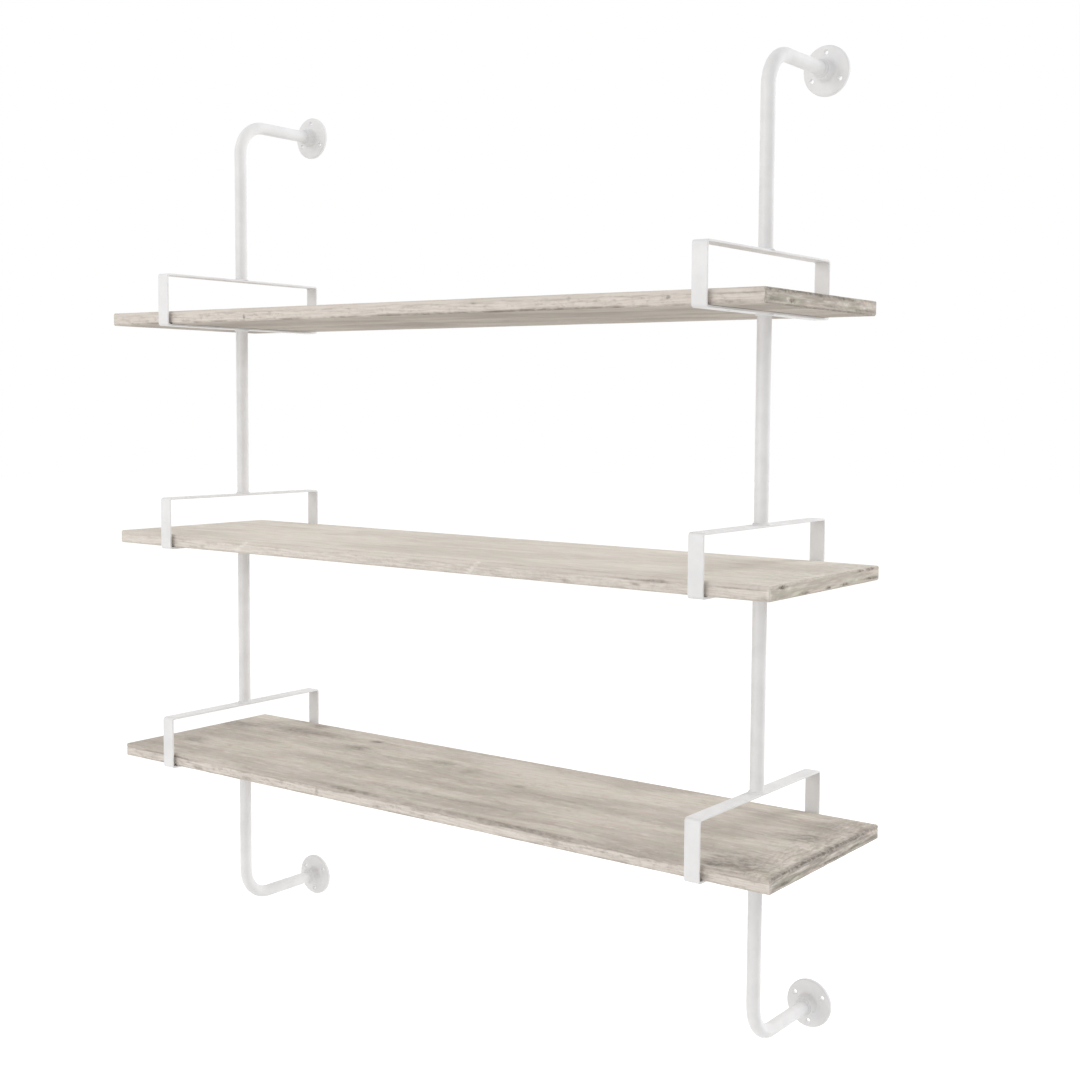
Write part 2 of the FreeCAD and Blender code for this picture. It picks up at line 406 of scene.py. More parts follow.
def powder_coat():
    """White powder coat: faintly uneven, under a thin clear gloss."""
    material, nodes, shader, place = new_material(
        "white_powder_coat_finish", Coat_Weight=0.15, Coat_Roughness=0.25,
    )
    skin = nodes.group(COAT_SKIN, {"Place": place.outputs["Object"], "Pebble": COAT_PEBBLE})
    drift = nodes.ramp(skin["Drift"], *NOISE_SPREAD)
    nodes.feed(shader.inputs["Base Color"], nodes.blend(drift, *map(linear, COAT_TONES)))
    nodes.feed(shader.inputs["Roughness"], nodes.ramp(skin["Drift"], *NOISE_SPREAD, *COAT_ROUGHNESS))
    bump = nodes.add("ShaderNodeBump", {"Strength": 0.35, "Distance": 0.12 * MM, "Height": skin["Height"]})
    nodes.feed(shader.inputs["Normal"], bump.outputs[0])
    return material


def zinc():
    """Bright zinc, as on wood screws."""
    material, nodes, shader, place = new_material("zinc_screw_finish", Metallic=1.0)
    skin = nodes.group(COAT_SKIN, {"Place": place.outputs["Object"], "Pebble": ZINC_PEBBLE})
    nodes.feed(shader.inputs["Base Color"], nodes.blend(skin["Drift"], *map(linear, ZINC_TONES)))
    nodes.feed(shader.inputs["Roughness"], nodes.ramp(skin["Height"], *NOISE_SPREAD, *ZINC_ROUGHNESS))
    return material


# Wood

def face_tone(nodes, board, place, grain, mottle, rings, on_underside):
    """The sawn faces: two tones in broad stretches, tinted in blotches, streaked, and washed in patches."""
    dark, pale = board["streak_tone"], board["wash_tone"]
    stretches = nodes.effect("dark stretches", grain["Stretches"])
    # The undersides' tones are darker than the faces': painted shade below each board.
    above, under = (nodes.blend(stretches, *map(linear, board[side])) for side in ("face", "underside_painted_shade"))
    tone = nodes.blend(on_underside, above, under)
    tone = nodes.toned(tone, nodes.effect("tints", grain["Rosy"], board["tint"]), ROSY, "MULTIPLY")
    tone = nodes.toned(tone, nodes.effect("tints", grain["Mossy"], board["tint"]), MOSSY, "MULTIPLY")
    streaked = nodes.ramp(on_underside, 0.0, 1.0, board["streak"], UNDERSIDE_STREAK)
    streaked = nodes.product(nodes.effect("bare wood", grain["Wash"]), streaked)
    streaked = nodes.product(nodes.effect("streaks", grain["Streaks"]), streaked)
    tone = nodes.toned(tone, streaked, dark)
    tone = nodes.toned(tone, nodes.product(rings, board["ring"]), dark)
    off_streaks = nodes.effect("wash off streaks", grain["Streaks"])
    washed = nodes.ramp(on_underside, 0.0, 1.0, board["wash"], UNDERSIDE_WASH * board["wash"])
    washed = nodes.product(nodes.effect("wash", grain["Wash"]), off_streaks, washed)
    tone = nodes.toned(tone, washed, pale)
    tone = nodes.toned(tone, nodes.effect("dark speckles", mottle[1], board["speckle"]), dark)
    tone = nodes.toned(tone, nodes.effect("pale speckles", mottle[2], board["speckle"]), pale)
    tone = nodes.toned(tone, nodes.effect("dark fibres", grain["Fibres"]), dark)
    tone = nodes.toned(tone, nodes.effect("pale fibres", grain["Fibres"]), pale)
    # The right-hand end has weathered across the grain.
    worn = nodes.channels(nodes.noise(place, WEAR_PER_METRE, detail=4.0, roughness=0.7)[1])
    near_end = nodes.ramp(nodes.axes(place)[0], *END_WEAR, 0.0, board["end_wear"])
    tone = nodes.toned(tone, nodes.product(nodes.effect("dark wear", worn[0]), near_end), dark)
    return nodes.toned(tone, nodes.product(nodes.effect("pale wear", worn[1]), near_end), pale)


def long_edge_tone(nodes, board, place, mottle, face):
    """The long edges: face colour rolls over to a wavy, broken line; a paler band below; painted shade at
    the bottom.
    """
    from_left, _, height = nodes.axes(place)
    along = nodes.add("ShaderNodeCombineXYZ", {0: from_left}).outputs[0]
    waver = nodes.noise(along, LIP_WAVERS_PER_METRE, detail=3.0, roughness=0.6)[0]
    lowest, highest = -LIP_BELOW_TOP - LIP_WAVER, -LIP_BELOW_TOP + LIP_WAVER
    line_height = nodes.ramp(waver, *LIP_WAVER_SPREAD, lowest, highest)
    streaks = nodes.noise(place, EDGE_STREAKS_PER_METRE, detail=4.0, roughness=0.65)[0]
    ragged = nodes.product(nodes.math("SUBTRACT", mottle[0], 0.5), board["ragged"])
    below_line = nodes.math("ADD", nodes.math("SUBTRACT", line_height, height), ragged)
    band = nodes.effect("edge streaks", streaks)
    band = nodes.blend(band, linear(board["edge_pale"]), linear(board["edge_tone"]))
    dark, pale = board["streak_tone"], board["wash_tone"]
    band = nodes.toned(band, nodes.effect("dark edge mottles", mottle[1], board["mottle"]), dark)
    band = nodes.toned(band, nodes.effect("pale edge mottles", mottle[2], board["mottle"]), pale)
    band = nodes.toned(band, nodes.effect("rosy edge mottles", mottle[0]), ROSY, "MULTIPLY")
    band = nodes.toned(band, nodes.effect("dark edge streaks", streaks), dark)
    upper = nodes.toned(face, LIP_SHADE, board["lip_tone"])
    side = nodes.blend(nodes.ramp(below_line, *EDGE_ROLLS_OVER), upper, band)
    on_line = nodes.product(nodes.ramp(nodes.math("ABSOLUTE", below_line), *LINE_FADES), board["line"])
    on_line = nodes.product(on_line, nodes.effect("whole line", streaks))
    side = nodes.toned(side, on_line, board["line_tone"])
    # Painted shade: the edge darkens towards its bottom arris, as if under the board.
    low_edge_painted_shade = nodes.product(nodes.ramp(height, *LOW_EDGE_PAINTED_SHADE), nodes.effect("painted shade at low edge", waver))
    return nodes.toned(side, nodes.product(low_edge_painted_shade, board["low_edge_painted_shade"]), board["line_tone"])


def end_tone(nodes, board, place, rings):
    """The ends: sawn across the grain, smeared with wash, and darker where the pores took the stain."""
    sawn = nodes.noise(place, SAW_MARKS_PER_METRE, detail=4.0, roughness=0.62, lean=0.3)[1]
    smear = nodes.channels(sawn)
    smears = nodes.effect("end smears", smear[0])
    tone = nodes.blend(smears, linear(board["end_light"]), linear(board["end_dark"]))
    tone = nodes.toned(tone, nodes.effect("end tints", smear[1]), MOSSY, "MULTIPLY")
    tone = nodes.toned(tone, nodes.effect("end tints", smear[2]), ROSY, "MULTIPLY")
    return nodes.toned(tone, nodes.product(rings, END_RINGS), board["end_dark"])


def marked(nodes, tone, place, feather, speckle, marks, mark_tone):
    """The tone with ragged oval marks on it, each of them speckled through."""
    clear = 1.0
    for centre, reach, strength, hardness in marks:
        mark = nodes.group(WOOD_MARK, {
            "Place": place,
            "Centre": Vector(centre) * MM,
            "Reach": Vector(reach) * MM,
            "Feather": feather,
            "Hardness": hardness,
        })["Mark"]
        kept = nodes.math("SUBTRACT", 1.0, nodes.product(mark, strength))
        clear = nodes.product(clear, kept)
    amount = nodes.product(nodes.math("SUBTRACT", 1.0, clear), nodes.ramp(speckle, *MARK_MOTTLING))
    return nodes.toned(tone, nodes.math("MINIMUM", amount, 1.0), mark_tone)


def board_finish(name, board, low, high):
    """The weathered finish of one board. Places on it are measured from its left, front, top corner."""
    material, nodes, shader, coordinates = new_material(f"{name}_finish", Specular_IOR_Level=0.25)
    corner = Vector((low.x, low.y, high.z))
    place = nodes.vector("SUBTRACT", coordinates.outputs["Object"], corner)
    facing = nodes.axes(nodes.vector("ABSOLUTE", coordinates.outputs["Normal"]))
    on_end = nodes.effect("turned to the side", facing[0])
    on_side = nodes.effect("turned to the side", facing[1])
    on_underside = nodes.effect("turned down", nodes.axes(coordinates.outputs["Normal"])[2])
    arris = nodes.add("ShaderNodeAttribute", attribute_name="arris").outputs["Fac"]
    sunk = nodes.add("ShaderNodeAttribute", attribute_name="sunk").outputs["Fac"]

    seed = board["seed"]
    feather = nodes.noise(place, FEATHERS_PER_METRE, detail=4.0, roughness=0.7)[1]
    feather = nodes.scaled(nodes.vector("SUBTRACT", feather, NOISE_MIDDLE), FEATHER_REACH)
    grain = nodes.group(WOOD_GRAIN, {
        "Place": place,
        "Streak length": STREAK_LENGTH,
        "Streak width": STREAK_WIDTH,
        "Seed": seed,
    })
    rings = nodes.group(GROWTH_RINGS, {
        "Place": place,
        "Heart": board["heart"],
        "Ring width": board["ring_width"],
        "Waver": HEART_WAVER,
        "Seed": seed,
    })["Rings"]
    mottle = nodes.channels(nodes.noise(place, MOTTLES_PER_METRE, detail=4.0, roughness=0.62)[1])

    face = face_tone(nodes, board, place, grain, mottle, rings, on_underside)
    tone = nodes.blend(on_side, face, long_edge_tone(nodes, board, place, mottle, face))
    tone = nodes.blend(on_end, tone, end_tone(nodes, board, place, rings))
    off_streaks = nodes.effect("rubbed off streaks", grain["Streaks"])
    rubbed = nodes.product(nodes.effect("rubbed arris", arris), off_streaks, board["rubbed"])
    tone = nodes.toned(tone, rubbed, board["edge_pale"])
    tone = nodes.toned(tone, nodes.ramp(sunk, *DENT_DARKENS), board["line_tone"])
    tone = marked(nodes, tone, place, feather, mottle[0], board["marks"], board["mark_tone"])
    tone = marked(nodes, tone, place, feather, mottle[1], board["pale_marks"], board["wash_tone"])
    nodes.feed(shader.inputs["Base Color"], tone)

    nodes.feed(shader.inputs["Roughness"], nodes.ramp(grain["Streaks"], *NOISE_SPREAD, *WOOD_ROUGHNESS))
    fibres = nodes.product(grain["Fibres"], RELIEF_OF_FIBRES)
    relief = nodes.math("ADD", fibres, nodes.product(grain["Streaks"], RELIEF_OF_STREAKS))
    relief = nodes.math("SUBTRACT", relief, nodes.product(rings, RELIEF_OF_RINGS))
    bump = nodes.add("ShaderNodeBump", {"Strength": 0.5, "Distance": WOOD_RELIEF, "Height": relief})
    nodes.feed(shader.inputs["Normal"], bump.outputs[0])
    return material


def stations(half, step):
    """Mesh lines across one side of a board: close together in the rounded edges and even between them."""
    inner = half - BOARD_ROUNDING
    edge = BOARD_ROUNDING * numpy.tan(numpy.linspace(0, math.pi / 4, ARRIS_STEPS + 1))[1:]
    middle = numpy.linspace(-inner, inner, max(1, round(2 * inner / step)) + 1)
    return numpy.concatenate([-(inner + edge)[::-1], middle, inner + edge])


def rounded_shell(half):
    """A closed board with rounded edges: its points, the way out at each, and its faces."""
    lines = [stations(side, step) for side, step in zip(half, MESH_STEPS)]
    counts = [len(line) for line in lines]
    skin = numpy.zeros(counts, bool)
    for axis in range(3):
        ends = [slice(None)] * 3
        ends[axis] = [0, -1]
        skin[tuple(ends)] = True
    number = numpy.full(counts, -1)
    number[skin] = numpy.arange(skin.sum())
    points = numpy.stack(numpy.meshgrid(*lines, indexing="ij"), -1)[skin]
    inner = numpy.clip(points, BOARD_ROUNDING - half, half - BOARD_ROUNDING)
    out = points - inner
    out /= numpy.linalg.norm(out, axis=1, keepdims=True)
    faces = []
    for axis, end in itertools.product(range(3), (0, -1)):
        sheet = numpy.take(number, end, axis)
        corners = [sheet[:-1, :-1], sheet[1:, :-1], sheet[1:, 1:], sheet[:-1, 1:]]
        quads = numpy.stack(corners, -1).reshape(-1, 4)
        # Every face looks outwards.
        if (end == 0) != (axis == 1):
            quads = quads[:, ::-1]
        faces.append(quads)
    return inner + out * BOARD_ROUNDING, out, numpy.concatenate(faces)


def unevenness(points, size, seed):
    """Smooth ups and downs from -1 to 1, one every size or so, the same on every run."""
    unit = points / numpy.array(size) + seed
    cell = numpy.floor(unit).astype(numpy.int64)
    share = unit - cell
    share = share * share * (3 - 2 * share)
    total = numpy.zeros(len(points))
    for corner in itertools.product((0, 1), repeat=3):
        key = ((cell + corner) * PLACE_FACTORS).sum(1) & LEVELS
        key = (key * FIRST_SCRAMBLE[0] + FIRST_SCRAMBLE[1]) & LEVELS
        key = ((key ^ (key >> SCRAMBLE_SHIFT)) * LAST_SCRAMBLE[0] + LAST_SCRAMBLE[1]) & LEVELS
        weight = numpy.prod(numpy.where(corner, share, 1 - share), axis=1)
        total += weight * (key / LEVELS * 2 - 1)
    return total


def new_object(name, data):
    """An object with its data, in the scene."""
    made = bpy.data.objects.new(name, data)
    bpy.context.scene.collection.objects.link(made)
    return made


def weathered_board(name, board, low, high):
    """One board, with swollen fibres, rubbed arrises, nicks, and the line below its top arris."""
    half = numpy.array((high - low) / 2)
    centre = numpy.array((high + low) / 2)
    points, out, faces = rounded_shell(half)
    seed = numpy.array(board["seed"]) * SHAPE_SEED[0] + SHAPE_SEED[1]
    # From 0 on the flats to 1 in the middle of a rounded arris
    flat = numpy.abs(out).max(1)
    arris = numpy.clip((1 - flat) / (1 - math.sqrt(0.5)), 0, 1)
    sunk = SWELL_DEPTH * (0.5 + 0.5 * unevenness(points, SWELL_SIZE, seed))
    sunk += FIBRE_DEPTH * (0.5 + 0.5 * unevenness(points, FIBRE_SIZE, seed + FIBRE_SEED))
    rubbed = unevenness(points, RUBBED_SIZE, seed + RUBBED_SEED)
    rubbed = RUBBED_EVERYWHERE + (1 - RUBBED_EVERYWHERE) * rubbed
    sunk += RUBBED_DEPTH * arris * numpy.clip(rubbed, 0, 1)
    nick = numpy.clip(unevenness(points, NICK_SIZE, seed + NICK_SEED) - NICK_LEVEL, 0, 1)
    sunk += NICK_DEPTH * nick * (NICK_OFF_ARRIS + (1 - NICK_OFF_ARRIS) * arris)
    waver = unevenness(points * (1, 0, 0), (LIP_WAVER_SIZE,) * 3, seed + LIP_SEED)
    line = half[2] - LIP_BELOW_TOP + LIP_WAVER * waver
    off_line = (points[:, 2] - line) / LIP_HALF_WIDTH
    upright = 1 - numpy.abs(out[:, 2])
    sunk += board["lip"] * LIP_DEPTH * numpy.exp(-off_line * off_line) * upright
    points = points - out * sunk[:, None] + centre

    mesh = bpy.data.meshes.new(name)
    mesh.from_pydata(points.tolist(), [], faces.tolist())
    mesh.shade_smooth()
    for label, values in (("arris", arris), ("sunk", sunk / MM)):
        mesh.attributes.new(label, "FLOAT", "POINT").data.foreach_set("value", values.astype(numpy.float32))
    piece = new_object(name, mesh)
    piece.data.materials.append(board_finish(name, board, low, high))
    return piece


def slash(start, end, across, strength):
    """A slanting scuff on a front edge: a row of small marks from start to end, each an x and a z."""
    shares = [mark / (SLASH_MARKS - 1) for mark in range(SLASH_MARKS)]
    places = [(start[0] + (end[0] - start[0]) * s, 0, start[1] + (end[1] - start[1]) * s) for s in shares]
    return [(place, (across, *SLASH_DEPTH_AND_HEIGHT), strength, SLASH_HARDNESS) for place in places]


# A board's tones go from 0 to 255 and its strengths from 0 to 1.
# A mark is its centre, its half sizes, how strongly it tones the wood, and how hard its edge is.
# The marks' places and sizes are in millimetres, the places from the board's left, front, top corner.
BOARDS = {
    "top": {
        "seed": (0.31, 0.77, 0.13), "heart": (0.0, 0.13, -0.21), "ring_width": 7 * MM,
        "face": ((222, 215, 207), (206, 199, 191)), "underside_painted_shade": ((203, 196, 188), (177, 170, 163)),
        "streak_tone": (142, 131, 122), "wash_tone": (228, 222, 215), "mark_tone": (94, 87, 80),
        "streak": 0.3, "wash": 0.6, "ring": 0.12, "speckle": 0.2, "end_wear": 0.2,
        "tint": 1.0, "rubbed": 0.35,
        "mottle": 0.42, "ragged": 4 * MM, "line": 0.25, "low_edge_painted_shade": 0.7, "lip": 0.25,
        "edge_pale": (222, 215, 207), "edge_tone": (201, 194, 186), "lip_tone": (214, 207, 199),
        "line_tone": (128, 117, 107), "end_light": (201, 194, 185), "end_dark": (164, 157, 149),
        "marks": [
            ((310, 0, -13), (3, 3, 4), 0.7, 0.3),
            ((758, 0, -7), (6, 3, 2.5), 0.4, 0.2),
            ((1065, 0, -8.5), (3.5, 3, 2.6), 0.75, 0.4),
            ((915, 0, -6), (4, 3, 3), 0.35, 0.2),
            ((85, 0, -15), (5, 3, 2), 0.4, 0.2),
            # Painted shade: these two darken the bottom of the front edge, as under the board.
            ((760, 0, -19), (270, 5, 2.6), 0.5, 0.0),
            ((900, 0, -18), (60, 5, 2), 0.4, 0.1),
            # Painted shade: these two darken the underside towards the middle and the right.
            ((700, 190, -20), (220, 40, 4), 0.2, 0.0),
            ((1130, 190, -20), (70, 40, 4), 0.14, 0.0),
            ((1190, 0, -5), (12, 3, 5), 0.25, 0.0),
            ((1164, 0, -7.4), (38, 4, 1.2), 0.35, 0.1),
            ((1150, 0, -16.4), (50, 4, 2.2), 0.3, 0.0),
            ((1200, 112, -1.8), (4, 165, 2.8), 0.5, 0.2),
            ((1200, 25, -3.4), (4, 30, 2.6), 0.4, 0.1),
            ((1200, 90, -1.6), (4, 100, 2.2), 0.3, 0.2),
            ((1200, 142, -4.6), (4, 14, 2.6), 0.45, 0.1),
            ((1200, 205, -3.2), (4, 40, 2.2), 0.4, 0.1),
            ((1200, 272, -2), (4, 26, 1.6), 0.4, 0.1),
            ((1200, 67, -14), (4, 8, 3), 0.65, 0.3),
            ((1200, 20, -14), (4, 22, 3.2), 0.35, 0.1),
            ((1200, 172, -15), (4, 28, 3), 0.35, 0.1),
            ((1200, 246, -16), (4, 14, 2.4), 0.45, 0.1),
            ((1200, 277, -15), (4, 16, 2.4), 0.4, 0.1),
            ((1200, 150, -19.4), (4, 165, 1.8), 0.5, 0.2),
        ],
        "pale_marks": [
            ((1164, 0, -4.4), (36, 4, 1.8), 0.5, 0.1),
            ((1164, 0, -10), (36, 4, 2), 0.45, 0.1),
            # Painted light: these two lighten the underside towards the left.
            ((330, 40, -20), (130, 60, 4), 0.25, 0.0),
            ((520, 262, -20), (340, 34, 4), 0.22, 0.0),
            ((600, 0, -7), (80, 4, 4), 0.25, 0.0),
            ((180, 0, -6), (60, 4, 4), 0.25, 0.0),
            ((1200, 10, -8), (4, 9, 1.6), 0.4, 0.3),
            ((1200, 55, -12), (4, 5, 3), 0.55, 0.3),
            ((1200, 108, -12.2), (4, 14, 2.2), 0.45, 0.1),
            ((1200, 156, -9.4), (4, 12, 1.6), 0.45, 0.2),
            ((1200, 198, -9.4), (4, 24, 3), 0.5, 0.1),
            ((1200, 266, -10), (4, 28, 4), 0.5, 0.1),
        ],
    },
    "middle": {
        "seed": (1.7, 0.21, 0.43), "heart": (0.0, 0.19, -0.33), "ring_width": 8 * MM,
        "face": ((236, 231, 223), (221, 215, 207)), "underside_painted_shade": ((210, 203, 195), (188, 181, 173)),
        "streak_tone": (176, 166, 156), "wash_tone": (236, 231, 224), "mark_tone": (110, 102, 94),
        "streak": 0.2, "wash": 0.5, "ring": 0.1, "speckle": 0.14, "end_wear": 0.25,
        "tint": 0.8, "rubbed": 0.35,
        "mottle": 0.45, "ragged": 5 * MM, "line": 0.25, "low_edge_painted_shade": 0.3, "lip": 0.5,
        "edge_pale": (226, 220, 212), "edge_tone": (201, 195, 187), "lip_tone": (198, 190, 183),
        "line_tone": (160, 150, 140), "end_light": (208, 201, 191), "end_dark": (179, 172, 163),
        "marks": [
            ((1120, 150, 0), (190, 190, 6), 0.13, 0.0),
            ((1170, 262, 0), (50, 50, 4), 0.2, 0.0),
            ((1170, 110, 0), (50, 60, 4), 0.1, 0.0),
            ((960, 262, 0), (60, 40, 4), 0.08, 0.0),
            ((840, 0, -13), (360, 4, 8), 0.13, 0.0),
            ((1040, 0, -5.5), (14, 4, 3), 0.55, 0.1),
            ((1020, 0, -6.5), (62, 4, 1.6), 0.4, 0.1),
            ((1158, 0, -6.5), (36, 4, 1.5), 0.4, 0.1),
            ((1010, 0, -12), (9, 3, 2.5), 0.45, 0.1),
            ((900, 0, -15), (7, 3, 3), 0.3, 0.1),
            ((200, 0, -14), (6, 3, 4), 0.3, 0.1),
            ((1192, 0, -16), (10, 3, 4), 0.3, 0.1),
            ((1200, 31, -4.6), (3, 13, 2.4), 0.85, 0.5),
            ((1200, 243, -2.8), (3, 9, 2.4), 0.75, 0.4),
            ((1200, 271, -2.6), (3, 13, 2.6), 0.85, 0.4),
            ((1200, 30, -16.8), (3, 24, 1.8), 0.4, 0.1),
            ((1200, 87, -16.6), (3, 12, 2.2), 0.7, 0.3),
            ((1200, 151, -16.4), (3, 8, 2), 0.8, 0.3),
            ((1200, 198, -16), (3, 15, 2), 0.75, 0.3),
            ((1200, 280, -14.8), (3, 24, 2), 0.85, 0.3),
        ],
        "pale_marks": [
            *slash((300, -2), (277, -16), 5, 0.6),
            *slash((755, -2), (736, -18), 5, 0.65),
            ((45, 0, -13), (62, 4, 5.5), 0.4, 0.0),
            ((270, 0, -13), (130, 4, 4.5), 0.3, 0.0),
            ((960, 0, -12), (70, 4, 5), 0.25, 0.0),
            ((1160, 0, -10), (34, 4, 5), 0.35, 0.0),
            ((1199, 0, -11), (5, 4, 9), 0.5, 0.3),
            ((780, 190, 0), (200, 50, 4), 0.6, 0.0),
            ((400, 262, 0), (130, 40, 4), 0.5, 0.0),
            ((420, 92, 0), (60, 12, 4), 0.4, 0.0),
            ((130, 92, 0), (70, 12, 4), 0.4, 0.0),
            ((530, 180, 0), (60, 14, 4), 0.35, 0.0),
            ((1200, 48, -8), (3, 10, 3), 0.45, 0.1),
            ((1200, 232, -13), (3, 14, 2.4), 0.4, 0.1),
        ],
    },
    "bottom": {
        "seed": (2.9, 1.4, 0.67), "heart": (0.0, 0.11, -0.17), "ring_width": 7 * MM,
        "face": ((217, 211, 202), (193, 186, 178)), "underside_painted_shade": ((204, 196, 188), (178, 170, 162)),
        "streak_tone": (150, 140, 131), "wash_tone": (230, 223, 216), "mark_tone": (104, 98, 92),
        "streak": 0.22, "wash": 0.5, "ring": 0.1, "speckle": 0.3, "end_wear": 0.5,
        "tint": 1.0, "rubbed": 0.2,
        "mottle": 0.55, "ragged": 6 * MM, "line": 0.4, "low_edge_painted_shade": 0.6, "lip": 1.0,
        "edge_pale": (226, 220, 212), "edge_tone": (198, 191, 183), "lip_tone": (192, 183, 175),
        "line_tone": (138, 127, 118), "end_light": (205, 198, 189), "end_dark": (153, 147, 140),
        "marks": [
            ((320, 255, 0), (14, 9, 4), 0.75, 0.1),
            ((155, 284, 0), (26, 12, 4), 0.55, 0.0),
            ((30, 212, 0), (56, 24, 4), 0.45, 0.0),
            ((170, 236, 0), (104, 28, 4), 0.4, 0.0),
            ((325, 203, 0), (30, 16, 4), 0.5, 0.0),
            ((502, 210, 0), (32, 15, 4), 0.48, 0.0),
            ((570, 190, 0), (14, 22, 4), 0.3, 0.0),
            ((690, 165, 0), (13, 8, 4), 0.4, 0.1),
            ((430, 120, 0), (12, 8, 4), 0.3, 0.0),
            ((62, 86, 0), (34, 22, 4), 0.45, 0.0),
            ((350, 190, 0), (90, 40, 4), 0.13, 0.0),
            ((560, 35, 0), (80, 36, 4), 0.13, 0.0),
            ((220, 265, 0), (70, 34, 4), 0.1, 0.0),
            ((630, 52, 0), (170, 9, 4), 0.32, 0.0),
            ((700, 140, 0), (240, 9, 4), 0.18, 0.0),
            ((510, 4, 0), (60, 6, 4), 0.6, 0.1),
            ((1160, 187, 0), (32, 22, 4), 0.5, 0.1),
            ((1130, 172, 0), (34, 20, 4), 0.25, 0.0),
            ((1138, 38, 0), (54, 46, 4), 0.52, 0.25),
            ((1108, 12, 0), (32, 14, 4), 0.4, 0.0),
            ((1084, 66, 0), (26, 16, 4), 0.3, 0.0),
            ((1152, 236, 0), (36, 36, 4), 0.34, 0.0),
            ((1198, 110, 0), (8, 190, 4), 0.5, 0.3),
            ((1090, 150, 0), (30, 24, 4), 0.15, 0.0),
            ((100, 0, -5), (60, 4, 2), 0.5, 0.1),
            ((800, 0, -2), (330, 4, 4.5), 0.34, 0.0),
            ((840, 0, -3), (80, 4, 5), 0.36, 0.0),
            ((880, 0, -12), (9, 4, 6), 0.35, 0.1),
            ((440, 0, -12), (4, 3, 6), 0.35, 0.2),
            ((560, 0, -15), (8, 4, 3), 0.45, 0.1),
            ((650, 0, -16), (4, 3, 4), 0.3, 0.1),
            ((285, 0, -16), (22, 4, 3.4), 0.4, 0.1),
            ((175, 0, -14), (12, 4, 3.4), 0.4, 0.1),
            ((60, 0, -12), (20, 4, 4), 0.2, 0.0),
            ((1110, 0, -14), (12, 4, 5), 0.35, 0.0),
            ((1200, 20, -2), (4, 24, 2.4), 0.5, 0.2),
            ((1200, 150, -1.8), (5, 165, 2.4), 0.28, 0.2),
            ((1200, 160, -3), (4, 26, 3), 0.5, 0.1),
            ((1200, 250, -2.6), (4, 54, 2.6), 0.6, 0.1),
            ((1200, 95, -1.4), (4, 60, 1.6), 0.4, 0.1),
            ((1200, 37, -14), (4, 13, 2.6), 0.65, 0.3),
            ((1200, 170, -15.4), (4, 46, 2.2), 0.75, 0.2),
            ((1200, 226, -13.6), (4, 20, 2.2), 0.6, 0.2),
            ((1200, 75, -12), (4, 16, 2), 0.3, 0.1),
            ((1200, 284, -14), (4, 14, 3.4), 0.4, 0.1),
        ],
        "pale_marks": [
            ((760, 0, -12), (110, 4, 5), 0.45, 0.0),
            ((520, 0, -11), (60, 4, 5), 0.4, 0.0),
            ((1158, 0, -11), (36, 4, 6), 0.45, 0.0),
            ((1199, 0, -11), (5, 4, 9), 0.5, 0.3),
            ((210, 0, -8), (40, 4, 3), 0.25, 0.0),
            ((1200, 12, -8.6), (4, 15, 1.8), 0.5, 0.2),
            ((1200, 82, -7.2), (4, 30, 1.6), 0.5, 0.2),
            ((1200, 170, -9), (4, 30, 1.8), 0.5, 0.2),
            ((1200, 225, -9.6), (4, 24, 1.8), 0.45, 0.2),
            ((620, 262, 0), (240, 40, 4), 0.4, 0.0),
            ((350, 35, 0), (90, 36, 4), 0.4, 0.0),
            ((980, 200, 0), (150, 60, 4), 0.25, 0.0),
            ((470, 22, 0), (60, 7, 4), 0.35, 0.0),
            ((300, 60, 0), (80, 9, 4), 0.3, 0.0),
            ((880, 84, 0), (60, 8, 4), 0.25, 0.0),
            ((480, 150, 0), (60, 10, 4), 0.3, 0.0),
        ],
    },
}


# Weld beads

